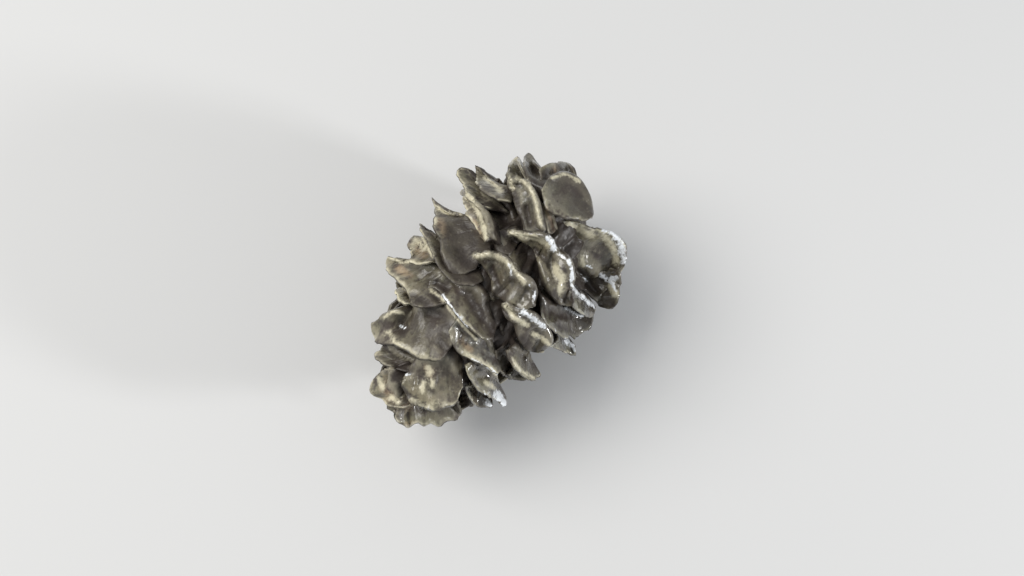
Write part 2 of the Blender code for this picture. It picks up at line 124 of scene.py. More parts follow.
# The scales that the photo shows. Each is held by two lines in photo pixels, both from its upper left end to
# its lower right end: the free edge, and the crest, where the blade bends over. Sunk is how far below the
# cone's outline the edge and the crest lie, and a third number at a point is how much further from the camera
# it lies, both in millimetres. Beyond is how far past the crest the root lies in the photo, as a share of the
# way from the edge. Look is how pale the crest and the rim are, in pale wood and painted highlight, how wet
# the scale is, in its coat and the painted glints on its rim, how tan, and how crumpled.
SEEN = {
    "frill": dict(
        edge=(
            (394, 410), (396, 421), (403, 425), (409, 428), (415, 423), (424, 427), (431, 424), (438, 427),
            (447, 425), (457, 424), (461, 417), (464, 410),
        ),
        crest=((396, 403), (410, 402), (430, 400), (450, 398), (462, 399)),
        sunk=(0.5, 2), look=(0.35, 0.3, 0.2, 1.0),
    ),
    "low_left": dict(
        edge=((384, 369), (373, 382), (369, 393), (379, 398), (387, 406), (400, 409), (413, 411)),
        crest=((394, 366), (389, 378), (390, 387), (396, 394), (405, 397), (415, 400)),
        sunk=(0, 0), look=(0.5, 0.2, 0.9, 1.0),
    ),
    "big_low": dict(
        edge=((402, 386), (409, 399), (421, 408), (437, 408), (452, 406), (463, 400)),
        crest=((404, 380), (412, 369), (424, 361), (440, 361), (455, 367), (467, 375)),
        sunk=(-1, 0), look=(0.45, 0.3, 0.45, 1.0),
    ),
    "left_lobe": dict(
        edge=((381, 345), (373, 354), (377, 362), (387, 367), (400, 371), (414, 376)),
        crest=((390, 343), (392, 349), (402, 355), (415, 360), (425, 364)),
        sunk=(0, 2), look=(0.35, 0.2, 0.4, 1.0),
    ),
    "pitted": dict(
        edge=((372, 323), (374, 337), (379, 345), (392, 346), (408, 354), (425, 361), (442, 361), (455, 354)),
        crest=((383, 316), (392, 311), (402, 313, 3), (413, 307), (432, 310), (448, 317), (458, 328)),
        sunk=(-0.5, 0), look=(0.34, 0.12, 0.3, 0.9),
    ),
    "knob": dict(
        edge=((395, 293), (397, 297), (400, 303), (406, 305)),
        crest=((398, 289), (403, 288), (408, 293), (412, 299)),
        sunk=(0, 2), look=(0.8, 0.1, 0.6, 1.0),
    ),
    "left_spike": dict(
        edge=((389, 256), (386, 266), (394, 281), (404, 290), (412, 304), (430, 308), (444, 308)),
        crest=((404, 261), (416, 261), (430, 269), (441, 282), (452, 296)),
        sunk=(-0.5, 1), look=(0.4, 0.1, 0.4, 1.0),
    ),
    "pale_bit": dict(
        edge=((409, 247), (411, 255), (412, 263), (424, 264), (434, 264)),
        crest=((412, 237), (418, 238), (425, 243), (434, 250), (440, 256)),
        sunk=(0, 1), look=(0.5, 0.1, 0.6, 1.0),
    ),
    "long_edge": dict(
        edge=((427, 289), (437, 290), (446, 301), (456, 314), (467, 326), (480, 337), (492, 346)),
        crest=((439, 274), (455, 277), (470, 288), (482, 304), (490, 320), (498, 334)),
        sunk=(-1, 0), look=(0.3, 0.5, 0.25, 1.2),
    ),
    "under_edge": dict(
        edge=((448, 331), (452, 346), (462, 356), (476, 363), (490, 371), (503, 379)),
        crest=((457, 318), (470, 328), (484, 339), (495, 351), (504, 365)),
        sunk=(-0.5, 1), look=(0.32, 0.4, 0.4, 1.0),
    ),
    "low_tip": dict(
        edge=((464, 364), (468, 376), (477, 388), (487, 396), (498, 403), (508, 410), (512, 406)),
        crest=((472, 360), (483, 367), (495, 377), (503, 386), (508, 394)),
        sunk=(0, 1.5), look=(0.2, 0.9, 0.2, 1.3),
    ),
    "lowest_tip": dict(
        edge=((466, 387), (470, 400), (478, 408), (487, 411), (495, 409), (497, 403)),
        crest=((472, 384), (480, 390), (488, 396), (494, 399)),
        sunk=(2, 3), look=(0.3, 0.9, 0.1, 1.0),
    ),
    "web_low": dict(
        edge=((419, 223), (421, 233), (428, 246), (434, 259), (442, 273), (456, 284), (468, 290)),
        crest=((432, 234), (442, 243), (455, 256), (467, 268), (479, 281)),
        sunk=(-0.5, 1), look=(0.1, 0.1, 0.3, 0.8),
    ),
    "web_top": dict(
        edge=(
            (429, 196), (431, 206), (434, 219), (434, 231), (438, 248), (444, 264), (455, 277, 1),
            (470, 282, 2),
        ),
        crest=((449, 212), (461, 215), (471, 228), (476, 243), (481, 258)),
        sunk=(-0.5, 1.5), look=(0.1, 0.1, 0.3, 0.8),
    ),
    "pale_ridge": dict(
        edge=((461, 190), (462, 206), (469, 218), (477, 231), (484, 246)),
        crest=((465, 192), (475, 202), (485, 211), (490, 224), (492, 240)),
        sunk=(1.5, -0.5), beyond=-0.3, look=(0.6, 0.2, 0.5, 1.5),
    ),
    "crevice": dict(
        edge=((470, 188), (479, 206), (487, 228), (496, 250), (503, 266)),
        crest=((496, 186), (505, 204), (512, 222), (519, 242)),
        sunk=(4, 4), look=(0.0, 0.2, 0.4, 1.0),
    ),
    "finger": dict(
        edge=((458, 168), (456, 175), (461, 188), (466, 198), (473, 204), (481, 208)),
        crest=((468, 169), (471, 180), (475, 189), (486, 197), (496, 206)),
        sunk=(0, 1), look=(0.6, 0.1, 0.4, 1.0),
    ),
    "finger_web": dict(
        edge=((473, 166), (474, 176), (478, 187), (488, 195), (498, 202), (506, 208)),
        crest=((479, 167), (481, 175), (488, 180), (499, 184), (507, 188), (514, 195)),
        sunk=(0, 1), look=(0.4, 0.2, 0.3, 1.0),
    ),
    "leaf": dict(
        edge=((508, 164), (511, 160), (514, 155), (516, 161), (519, 167)),
        crest=((506, 180), (514, 177), (523, 179), (530, 184)),
        sunk=(0, 1), look=(0.4, 0.2, 0.2, 1.0),
    ),
    "second_leaf": dict(
        edge=((521, 161), (524, 156), (527, 153), (530, 157), (534, 164)),
        crest=((526, 177), (532, 175), (540, 174), (548, 176)),
        sunk=(0, 1), look=(0.1, 0.2, 0.2, 1.0),
    ),
    "back_top": dict(
        edge=((538, 169), (550, 162), (563, 161), (573, 167), (577, 178)),
        crest=((540, 182), (550, 178), (562, 176), (572, 180), (580, 188)),
        sunk=(0, 2), look=(0.1, 0.2, 0.3, 1.0),
    ),
    "disc": dict(
        edge=((541, 190), (545, 203), (553, 214), (565, 219), (578, 221), (590, 223)),
        crest=((549, 179), (563, 173), (578, 179), (588, 195), (592, 212)),
        sunk=(-1, -0.5), beyond=0, look=(0.15, 0.3, 0.0, 0.5),
    ),
    "sliver": dict(
        edge=((539, 204), (544, 220), (549, 237)),
        crest=((546, 202), (552, 216), (557, 231)),
        sunk=(1, 2), look=(0.4, 0.2, 0.5, 1.0),
    ),
    "two_lobes": dict(
        edge=((507, 183), (511, 196), (517, 212), (523, 226), (527, 240)),
        crest=((512, 178), (518, 182, 1), (525, 181), (535, 195), (540, 212), (543, 232)),
        sunk=(1, -1), beyond=0, look=(0.55, 0.4, 0.3, 1.3),
    ),
    "wavy_top": dict(
        edge=((509, 233, 1), (521, 240, 1), (534, 251, 4), (538, 268, 1), (545, 290), (558, 304), (572, 314)),
        crest=(
            (509, 231, 2), (530, 233), (548, 236, -1), (557, 249, 2.5), (570, 261, -1), (574, 277),
            (570, 293, 1),
        ),
        sunk=(1, -1), beyond=-0.1, look=(0.35, 0.8, 0.3, 1.7),
    ),
    "wavy_middle": dict(
        edge=((474, 257, 1), (482, 266, 2), (489, 277, 4), (492, 295, 2), (505, 304), (520, 311), (532, 311)),
        crest=(
            (477, 253, 2), (492, 252), (507, 258, -1), (515, 271, 0.5), (530, 279, -1), (536, 291),
            (534, 304, 1),
        ),
        sunk=(1, -1), beyond=-0.1, look=(0.45, 0.7, 0.4, 1.7),
    ),
    "wavy_low": dict(
        edge=((501, 303), (504, 316), (514, 326), (519, 341), (528, 353), (539, 359)),
        crest=((505, 302, 1), (519, 311), (533, 314, -1), (544, 324), (551, 336, -1), (550, 348)),
        sunk=(1, 0), beyond=0, look=(0.35, 0.7, 0.3, 1.6),
    ),
    "low_fin": dict(
        edge=((505, 351), (511, 364), (519, 375), (531, 381), (540, 382), (549, 387)),
        crest=((513, 345), (523, 352), (532, 360), (538, 364), (541, 371)),
        sunk=(0, 1.5), look=(0.2, 0.3, 0.2, 1.0),
    ),
    "low_fin_back": dict(
        edge=((508, 375), (514, 382), (524, 384), (533, 382)),
        crest=((514, 368), (521, 373), (530, 376)),
        sunk=(3, 5), look=(0.1, 0.2, 0.1, 1.0),
    ),
    "right_fin": dict(
        edge=((550, 348), (560, 351), (570, 354), (577, 356), (582, 355)),
        crest=((556, 338), (564, 340), (571, 341), (576, 343)),
        sunk=(1, 2), look=(0.3, 0.6, 0.0, 1.0),
    ),
    "right_face": dict(
        edge=((566, 296), (572, 306), (580, 314), (590, 319), (598, 313)),
        crest=((571, 284), (578, 294), (586, 302), (592, 306), (598, 308)),
        sunk=(0, 0), look=(0.2, 1.0, 0.0, 0.6),
    ),
    "right_low": dict(
        edge=((541, 316), (550, 331), (566, 340), (580, 337), (591, 328), (599, 316)),
        crest=((539, 297), (554, 307), (571, 315), (586, 318), (597, 311)),
        sunk=(0.5, 2), look=(0.1, 0.8, 0.1, 1.3),
    ),
    "cup": dict(
        edge=(
            (558, 221, 8), (574, 219, 6), (592, 226, 4), (607, 229, 1), (621, 244, -9), (625, 258, -8),
            (619, 277, -6),
        ),
        crest=(
            (560, 246, 11), (568, 256, 12), (578, 262, 11.5), (588, 268, 10), (596, 274, 7.5),
            (601, 280, 4.5),
        ),
        sunk=(0, 2), beyond=0.5, look=(0.45, 0.9, 0.3, 0.8),
    ),
    "cup_low": dict(
        edge=((619, 268, -5.5), (620, 286, -3), (619, 298, -3), (613, 308, -2), (599, 310)),
        crest=((603, 272, 6), (605, 286), (603, 295), (596, 302)),
        sunk=(0, 1), beyond=1.2, look=(0.15, 1.0, 0.1, 1.3),
    ),
    # The last four only close gaps between the others. The solid doesn't have them.
    "cup_floor": dict(
        edge=((562, 220, 12), (582, 226, 12), (598, 238, 12), (608, 256, 11), (608, 276, 8), (602, 296, 5)),
        crest=((552, 226, 14), (564, 240, 15), (574, 254, 15.5), (582, 272, 14), (580, 292, 13)),
        sunk=(0, 0), look=(-0.2, 0.5, 0.3, 0.5),
    ),
    "web_middle": dict(
        edge=((494, 232), (502, 250), (512, 266), (524, 284), (536, 302)),
        crest=((516, 226), (528, 242), (540, 260), (550, 282)),
        sunk=(5, 5), look=(0, 0.3, 0.4, 1.0),
    ),
    "web_lower": dict(
        edge=((488, 292), (494, 312), (500, 330), (510, 348)),
        crest=((508, 288), (518, 304), (528, 322), (538, 342)),
        sunk=(5, 5), look=(0, 0.3, 0.3, 1.0),
    ),
    "web_bottom": dict(
        edge=((494, 350), (497, 364), (503, 375), (511, 382)),
        crest=((510, 338), (517, 350), (524, 362), (531, 373)),
        sunk=(3.5, 4.5), look=(0, 0.3, 0.3, 1.0),
    ),
}

LOOKS = ("pale", "wet", "tan", "crumpled")
FAR_LOOKS = ((0.1, 0.6), (0.1, 0.6), (0.1, 0.6), (0.8, 1.4))  # from and to, for each scale of the far side

# Strokes of painted glint, of pale wood and painted highlight, of tan wood and of painted shade that the
# photo shows, each as its half width and the photo pixels that it runs through
STROKES = {
    # Painted glints, near white
    "glint_stroke": (
        (4, (519, 311), (527, 314), (535, 320), (544, 328)), (3.5, (601, 276), (608, 280), (617, 277)),
        (2.5, (612, 283), (615, 290)), (3, (572, 286), (580, 295), (588, 302), (596, 307)),
        (4, (568, 341), (573, 347), (580, 354)), (6, (495, 394), (501, 399), (507, 406)),
        (5, (487, 402), (491, 406), (495, 405)), (5.5, (604, 228), (613, 233), (621, 245), (624, 262)),
        (4, (546, 237), (551, 241), (554, 249)), (2.5, (560, 255), (568, 260), (572, 270), (572, 286)),
        (2, (509, 263), (512, 270), (510, 276)), (2, (530, 285), (535, 291), (534, 299)),
        (1.5, (441, 294), (451, 306), (459, 317), (468, 327)), (1.2, (575, 247), (582, 245)),
        (1.5, (586, 266), (593, 268)), (1.2, (581, 274), (586, 281)), (1.2, (400, 326), (405, 329)),
        (1.2, (406, 375), (410, 374)), (2, (566, 308), (574, 313), (582, 316)),
        (1.2, (470, 357), (480, 363), (492, 370), (500, 376)),
    ),
    # Pale wood, and painted highlight along crests and rims
    "cream_and_highlight_stroke": (
        (2.5, (457, 171), (458, 181), (465, 191), (474, 198)), (3, (485, 178), (493, 184), (501, 191)),
        (3, (466, 196), (474, 205), (480, 215), (484, 227), (486, 238)), (3, (509, 177), (513, 187)),
        (3, (517, 178), (528, 184), (534, 196), (538, 212), (541, 226)), (2, (432, 208), (436, 226)),
        (3.5, (510, 233), (524, 235), (540, 239), (550, 246)),
        (3.5, (476, 256), (492, 255), (505, 260), (514, 270), (524, 282)),
        (3, (505, 305), (515, 318), (528, 326)), (4, (412, 248), (416, 240), (424, 248)),
        (3, (582, 257), (583, 265)), (4, (562, 225), (577, 228), (592, 236)),
        (4, (604, 236), (613, 248), (617, 262)), (6, (556, 268), (562, 280)),
        (3, (533, 334), (543, 338), (549, 345)), (2, (419, 226), (424, 240), (433, 257)),
        (2, (430, 290), (440, 296), (450, 309), (462, 325), (476, 339)),
        (3, (466, 354), (478, 360), (490, 367), (500, 377)), (2, (432, 204), (446, 213), (460, 214)),
        (2, (390, 257), (400, 262), (414, 262)), (2, (384, 318), (393, 311), (404, 314)),
        (2.5, (389, 332), (394, 341), (402, 346)), (4.5, (428, 368), (430, 373)), (3, (424, 382), (422, 390)),
        (2.5, (433, 380), (432, 387)), (4, (392, 397), (398, 402)), (4, (611, 286), (615, 294)),
        (3, (412, 400), (424, 406), (440, 405)), (3, (379, 378), (383, 388)),
        (2, (552, 178), (565, 174), (579, 181)), (2, (562, 225), (576, 221), (590, 226)),
        (5, (396, 291), (401, 300)), (3, (556, 270), (562, 280), (560, 292)),
        (2, (512, 358), (520, 370), (534, 378)), (3, (486, 382), (494, 388)),
    ),
    "tan_stroke": (
        (6, (388, 391), (398, 400), (408, 405)), (6, (414, 246), (424, 254)), (5, (398, 268), (410, 276)),
        (3, (545, 208), (552, 220), (554, 230)), (4, (474, 222), (482, 240)), (5, (425, 366), (431, 374)),
        (5, (402, 428), (416, 424)), (5, (440, 222), (446, 236)), (5, (545, 175), (556, 170)),
        (4, (460, 340), (470, 350)),
    ),
    # Painted shade along crevices and hollows; these strokes also sink the surface
    "painted_shade_stroke": (
        (7, (402, 322), (405, 328), (402, 331)), (7, (430, 311), (444, 317)), (5, (434, 294), (443, 304)),
        (8, (488, 304), (493, 320), (496, 336)), (4, (578, 270), (586, 280), (596, 292)),
        (5, (602, 303), (612, 304)), (11, (452, 235), (462, 255), (474, 268)), (7, (444, 262), (458, 278)),
        (8, (468, 295), (478, 312), (488, 328)), (6, (489, 240), (498, 258)),
        (9, (500, 290), (503, 310), (512, 340)), (6, (436, 282), (446, 290)),
        (6, (440, 342), (448, 350), (460, 362)), (5, (526, 208), (530, 224)), (5, (548, 262), (556, 280)),
        (6, (552, 312), (566, 316)), (6, (522, 340), (534, 350)), (4, (402, 389), (412, 400), (424, 409)),
        (7, (498, 208), (506, 224)), (5, (412, 296), (426, 303)), (4, (536, 250), (548, 262), (553, 274)),
        (5, (556, 292), (566, 300)), (5, (492, 270), (498, 284)), (5, (560, 326), (574, 332)),
        (5, (502, 352), (506, 366)), (4, (396, 366), (410, 372)), (3, (526, 270), (534, 276)),
        (3.5, (477, 263), (486, 276), (490, 292), (502, 303), (514, 309)),
        (3.5, (514, 242), (530, 252), (538, 270), (545, 290), (556, 302)),
        (4.5, (513, 190), (519, 212), (524, 234)), (3.5, (501, 308), (507, 322), (516, 338), (526, 350)),
        (4, (534, 292), (540, 304)),
    ),
}

# How far each kind of stroke stands out
RELIEF = {"glint_stroke": 0.4 * MM, "cream_and_highlight_stroke": 0.5 * MM, "tan_stroke": 0.0, "painted_shade_stroke": -1.4 * MM}

# The blades of both sides
TUCK_PAST = 0.34  # how much further than the photo shows a covered crest lies, as a share of the blade
TUCK_DOWN = 2.8 * MM
CREST_AT = 0.6  # share of the length at which a blade passes its crest
CELLS_SEEN = 35
CELLS_FAR = 26
ROW_STEPS = 10  # of the curve between two points of a row
SLOPE_STEP = 0.02  # the surface's slope is measured over this share of the blade to each side
THINNED = (0.2, 0.95)  # the blade thins between these shares of its length
BEVEL_ACROSS = 0.03
BEVEL_ALONG = 0.018
SEED_SPAN = 100
SAME_POINT = 1e-7
FLOOR_REACH = 1.5 * MM  # how far below the floor a scale may run before it is pressed flat
FLOOR_SQUASH = 0.12
SURFACE_SIZES = ("Wave", "Ragged", "Folded", "Dished", "Rounded right", "Rounded left")
BLADE_SIZES = {
    "Wave": 1.0 * MM,
    "Ragged": 0.08,
    "Folded": 0.45,
    "Rounded right": 0.14,
    "Rounded left": 0.0,
    "Dished": 1.3 * MM,
    "Root thickness": 1.6 * MM,
    "Edge thickness": 0.6 * MM,
}
FAR_CORNERS = {"Rounded right": 0.22, "Rounded left": 0.22}

# The waves of a blade, each as how often they come across it and along it, their detail and their height
SWELL = (1.2, 1.6, 1.0, 2.0)
PLEAT = (3.6, 3.0, 2.0, 1.6)
CREASE = (2.4, 3.4, 1.0, 3.0)
RIB = (12.0, 1.6, 2.0, 0.5)
CREASE_SHIFT = 7.0
WAVES_A_METRE = 60.0
WAVED = (0.25, 0.9)  # the waves grow between these shares of the length
LIFT_TO_TIP = 0.45  # how much the waves stand out towards the cone's tip, against outward

# The ragged edge, its rounded corners and the dish of the face
JAG_RATE = 1.7
JAG_SIZE = 1.4
NICK_RATE = 9.0
NICK_SIZE = 0.35
CORNERS_FROM = 0.7  # share of the half width from which a corner is rounded
DISH_DEEPEST = (0.8, 0.84)  # between these shares of the length
DISH_SIDES = 0.5

# How steeply the strokes fade where a face turns away from the photo's camera, and what is left at the limb
FACING_RISE = 3
FACING_AT_LIMB = 0.3

# Colours of the old wood, linear
OLIVE_GREY = (0.196, 0.190, 0.122)
PURPLE_BROWN = (0.060, 0.046, 0.038)
# Dark brown of small pits, and of the painted shade in hollows, under the next scale and along the shade
# strokes
DEEP_BROWN = (0.038, 0.029, 0.024)
BLUE_GREY = (0.115, 0.128, 0.130)
# Pale worn wood, and painted highlight on crests and rims
PALE_WOOD_AND_HIGHLIGHT = (0.690, 0.638, 0.465)
TAN = (0.420, 0.280, 0.165)
# Painted glint: near white, on wet rims and along the glint strokes
PAINTED_GLINT_WHITE = (0.88, 0.91, 0.94)

# How far each layer of colour covers those under it, at most
BLUEST = 0.5
TANNEST = 0.6
LIGHTEST = 0.33
NEAR_RIM = 0.22
DARKEST = 0.9
PALE_CREST = 0.6
# Painted shade: deep between the scales, where the next scale covers a scale, and along the shade strokes
HOLLOW_SHADE = 0.7
UNDER_SCALE_SHADE = 0.9
PAINTED_SHADE_STROKE = 0.92
PALEST_CREST_AND_HIGHLIGHT = 0.88
WALL = 0.75
PITS = 0.6
PALE_AT = 0.66  # the share of the length where a crest is palest
PALE_NARROWNESS = 9.0

# Between which values each layer of colour fades in
GREY_FADE = (-0.12, 0.12)
BLUE_FADE = (-0.05, 0.3)
TAN_FADE = (-0.1, 0.25)
LIGHT_FADE = (-0.05, 0.3)
NEAR_RIM_FADE = (0.75, 1.05)
DARK_FADE = (-0.05, 0.25)
CREST_FADE = (0.0, 0.9)
STROKE_FADE = (0.1, 1.1)
SIDE_FADE = (0.93, 0.99)
SIDE_RIM_ALONG = (0.6, 0.9)
RIM_FADE = (0.955, 0.985)
BROKEN_RIM = (-0.1, 0.3)
HOLLOW_SHADE_FADE = (0.06, 0.42)
UNDER_SCALE_SHADE_FADE = (-1.2, -0.78)
PAINTED_SHADE_STROKE_FADE = (0.0, 0.9)
WALL_FADE = (-0.75, -0.25)
PITS_FADE = (0.16, 0.32)
GLINT_FADE = (0.1, 0.22)
GLINT_STROKE_FADE = (0.42, 0.95)

# The wood's grain, each kind as its scale and detail, and the height that it makes
PATCHES = (130.0, 2.0)
MOTTLE = (420.0, 4.0)
STREAKS = (1.0, 3.0)
SPECKS = (1700.0, 2.0)
MOTTLE_HEIGHT = 0.7
STREAK_HEIGHT = 0.5
SPECK_HEIGHT = 0.12
STREAKS_A_METRE = 500.0
STREAKS_ALONG = 3.0
SEED_RATE = 3.1
BUMP_STRENGTH = 0.6
BUMP_DISTANCE = 1.0 * MM

# How the wood shines
SHINE_FADE = (-0.1, 0.35)
DRY_ROUGHNESS = 0.5
SMOOTHER_WHERE_WET = 0.28
COAT_ROUGHNESS = 0.05

# The studio. Each light has its place from the cone, to the right, up and towards the camera in metres, its
# watts, its size and its colour.
LIGHTS = (
    ("soft", (-0.5, 0.3, 0.6), 6.6, 0.6, (1.0, 0.975, 0.93)),
    ("glint", (0.6, -0.1, 0.25), 2.4, 0.08, (1.0, 1.0, 1.0)),
)
STUDIO_COLOUR = (0.92, 0.96, 1.0)
STUDIO_STRENGTH = 0.44
FLOOR_HALF_SIZE = 3
FLOOR_COLOUR = (0.62, 0.62, 0.62)
FLOOR_ROUGHNESS = 0.9
CLIP_START = 0.01


def clamp(value, low, high):
    return min(max(value, low), high)


def view_axes():
    """(towards the camera, to the right, up) of the photo's view, as unit vectors."""
    along = math.cos(TILT) * math.cos(AXIS_IN_PHOTO)
    low = math.sin(TILT) / math.sqrt(1 - along**2)
    towards = Vector((-math.sin(TILT), -math.sqrt(low**2 - math.sin(TILT) ** 2), math.sqrt(1 - low**2)))
    turn = (-towards).to_track_quat("-Z", "Y")
    return towards, turn @ Vector((1, 0, 0)), turn @ Vector((0, 1, 0))


def outline(along):
    """How far from the axis the scales reach at this place along the cone."""
    share = min(abs(along) / HALF_LENGTH, 1)
    power = SQUARENESS_AT_TIP if along < 0 else SQUARENESS_AT_STALK
    return RADIUS * max((1 - share**power) ** (1 / power), SMALLEST_REACH)


def core_radius(along):
    share = min(abs(along - CORE_SHIFT) / CORE_HALF_LENGTH, 1)
    return CORE_RADIUS * math.sqrt(1 - share**2)


def from_photo(point, sunk):
    """The place that the photo shows at this point, this many millimetres below the cone's outline. A point
    outside the outline gives the place nearest to the axis on its line of sight."""
    towards, right, up = view_axes()
    eye = towards * DISTANCE
    aside = (point[0] - AXIS_MIDDLE_PX[0]) * PIXEL
    height = (AXIS_MIDDLE_PX[1] - point[1]) * PIXEL
    ray = (right * aside + up * height - eye).normalized()
    flat_ray = Vector((0, ray.y, ray.z))
    flat_eye = Vector((0, eye.y, eye.z))
    nearest = -flat_eye.dot(flat_ray) / flat_ray.length_squared
    miss = (flat_eye + nearest * flat_ray).length
    place = eye + nearest * ray
    for _ in range(OUTLINE_STEPS):
        reach = max(outline(place.x) - sunk * MM, MM)
        step = math.sqrt(max(reach**2 - miss**2, 0)) / flat_ray.length
        place = eye + (nearest - step) * ray
    further = sum(point[2:]) * MM
    return place - towards * further


def root_row(place, crest):
    """The two ends of a blade's root, which lies inside the core."""
    side = (crest[-1] - crest[0]) * 0.5 * ROOT_SPREAD
    side = side * max(1, LEAST_ROOT / side.length)
    along = clamp(place.x, *ROOTS_ALONG)
    spoke = Vector((0, place.y, place.z)).normalized()
    root = Vector((along, 0, 0)) + spoke * ROOT_DEPTH * core_radius(along)
    return [root - side, root + side]


def tucked(crest, edge):
    """The crest with all but its upper left end moved under the next scale's free edge."""
    last = len(crest) - 1
    moved = []
    for k, place in enumerate(crest):
        share = clamp(2 * k / last, 0, 1)
        away = place - edge[round(k / last * (len(edge) - 1))]
        spoke = Vector((0, place.y, place.z)).normalized()
        moved.append(place + (away * TUCK_PAST - spoke * TUCK_DOWN) * share)
    return moved


def seen_blade(marks):
    """A scale that the photo shows: its root, crest and free edge as lines of points, and its look."""
    edge = [from_photo(point, marks["sunk"][0]) for point in marks["edge"]]
    crest = [from_photo(point, marks["sunk"][1]) for point in marks["crest"]]
    if "beyond" not in marks:
        crest = tucked(crest, edge)
    inner = crest[len(crest) // 2]
    root = inner + (inner - edge[len(edge) // 2]) * marks.get("beyond", BEYOND)
    return (root_row(root, crest), crest, edge), marks["look"]


def far_blade(number):
    """The same for a scale of the spiral, or None where the photo shows that side."""
    draw = random.Random(f"{SEED} scale {number}")
    along = clamp(FIRST_ALONG + RISE * number, TIP_END, STALK_END)
    azimuth = FIRST_AZIMUTH + TURN * number
    outward = Vector((0, math.sin(azimuth), math.cos(azimuth)))
    sideways = Vector((0, math.cos(azimuth), -math.sin(azimuth)))
    facing = outward.dot(view_axes()[0])
    if facing > FAR_SIDE:
        return None
    curled = clamp((along - CURL_FROM) / (CURL_FULL_AT - CURL_FROM), 0, 1)
    limb = clamp(1 + facing / LIMB_FROM, 0, 1)
    reach = outline(along) * draw.uniform(*REACH) * (1 - LIMB_SHRINK * limb) * SHORT.get(number, 1)
    half = HALF_WIDTH * draw.uniform(*WIDTH) * min(1, LEAST_WIDTH + reach / FULL_WIDTH_REACH)
    lean = draw.uniform(-LEAN, LEAN)
    lift = draw.uniform(0, SIDES_BACK)

    def place(x, out, aside):
        bend = WRAP / max(out, LEAST_BEND_RADIUS)
        out -= (1 - math.cos(bend * aside)) / bend
        return Vector((x + lean * aside, 0, 0)) + out * outward + math.sin(bend * aside) / bend * sideways

    edge_along = along - CURL_BACK * curled
    edge_out = reach * (1 - CURL_DROP * curled)
    sides = (1, 0, -1)
    backs = [edge_along + SIDES_BACK * abs(k) + lift * k for k in sides]
    edge = [place(back, edge_out, half * EDGE_WIDTH * k) for back, k in zip(backs, sides)]
    crest_along = along + CREST_BACK * (1 - curled)
    crest_out = reach * (FLAT_CREST + (1 - FLAT_CREST) * curled)
    crest = [place(crest_along, crest_out, half * CREST_WIDTH * k) for k in sides]
    root = place(ROOT_CROWDING * along + ROOT_SHIFT, RADIUS, 0)
    return (root_row(root, crest), crest, edge), [draw.uniform(*span) for span in FAR_LOOKS]


def linked(name, data):
    """A new object of the scene, with this data."""
    thing = bpy.data.objects.new(name, data)
    bpy.context.scene.collection.objects.link(thing)
    return thing


def store(mesh, name, values, kind="FLOAT"):
    """Gives each point of the mesh its value under this name."""
    mesh.attributes.new(name, kind, "POINT").data.foreach_set("value", values)


def plan_object(name, blades):
    """One point for each blade, with the blade's own seed and look."""
    mesh = bpy.data.meshes.new(name)
    mesh.from_pydata([(0, 0, 0)] * len(blades), [], [])
    draw = random.Random(f"{SEED} {name}")
    store(mesh, "scale_seed", [draw.uniform(0, SEED_SPAN) for _ in blades])
    store(mesh, "width", [(rows[1][-1] - rows[1][0]).length for rows, _ in blades])
    for label, column in zip(LOOKS, zip(*(look for _, look in blades))):
        store(mesh, label, column)
    store(mesh, "number", range(len(blades)), "INT")
    return linked(name, mesh)


def rows_object(blades):
    """Three splines for each blade: its root, its crest and its free edge."""
    curve = bpy.data.curves.new("scale_rows", "CURVE")
    curve.dimensions = "3D"
    for lines, _ in blades:
        for row in lines:
            spline = curve.splines.new("POLY")
            spline.points.add(len(row) - 1)
            for point, place in zip(spline.points, row):
                point.co = (*(place + AXIS_AT), 1)
    return linked("scale_rows", curve)


class Wire:
    """A value in a node tree that takes part in sums, so that a rule reads as one."""

    def __init__(self, socket):
        self.tree = socket.id_data
        self.socket = socket

    def math(self, operation, *others):
        slots = dict(enumerate((self, *others)))
        return out(added(self.tree, "ShaderNodeMath", slots, operation=operation))

    def __add__(self, other):
        return self.math("ADD", other)

    def __sub__(self, other):
        return self.math("SUBTRACT", other)

    def __mul__(self, other):
        return self.math("MULTIPLY", other)

    def __pow__(self, other):
        return self.math("POWER", other)

    def __neg__(self):
        return self * -1.0

    def __rsub__(self, other):
        return -self + other

    def size(self):
        return self.math("ABSOLUTE")

    def eased(self, low, high):
        """0 up to low, 1 from high, and a soft rise between them."""
        slots = {"Value": self, "From Min": low, "From Max": high}
        return out(added(self.tree, "ShaderNodeMapRange", slots, interpolation_type="SMOOTHSTEP"))

    def noise(self, scale, detail):
        """Noise at this place, from -0.5 to 0.5."""
        slots = {"Vector": self, "Scale": scale, "Detail": detail}
        return out(added(self.tree, "ShaderNodeTexNoise", slots)) - 0.5


def added(tree, kind, slots=(), **settings):
    """A new node of this kind, with its settings and what its input slots get."""
    node = tree.nodes.new(kind)
    for name, value in settings.items():
        setattr(node, name, value)
    for slot, value in dict(slots).items():
        feed(node.inputs[slot], value)
    return node


def feed(slot, value):
    if isinstance(value, Wire):
        value.tree.links.new(value.socket, slot)
    else:
        slot.default_value = value


def out(node, slot=0):
    return Wire(node.outputs[slot])


def vector_math(operation, first, second=None, scale=None):
    slots = {0: first, 1: second, "Scale": scale}
    slots = {slot: value for slot, value in slots.items() if value is not None}
    return out(added(first.tree, "ShaderNodeVectorMath", slots, operation=operation), "Vector")


def weighed(pairs):
    """The sum of vectors, each times its weight."""
    total = None
    for vector, weight in pairs:
        part = vector_math("SCALE", vector, scale=weight)
        total = part if total is None else vector_math("ADD", total, part)
    return total


def attribute(tree, name, kind="FLOAT"):
    return out(added(tree, "GeometryNodeInputNamedAttribute", {"Name": name}, data_type=kind), "Attribute")


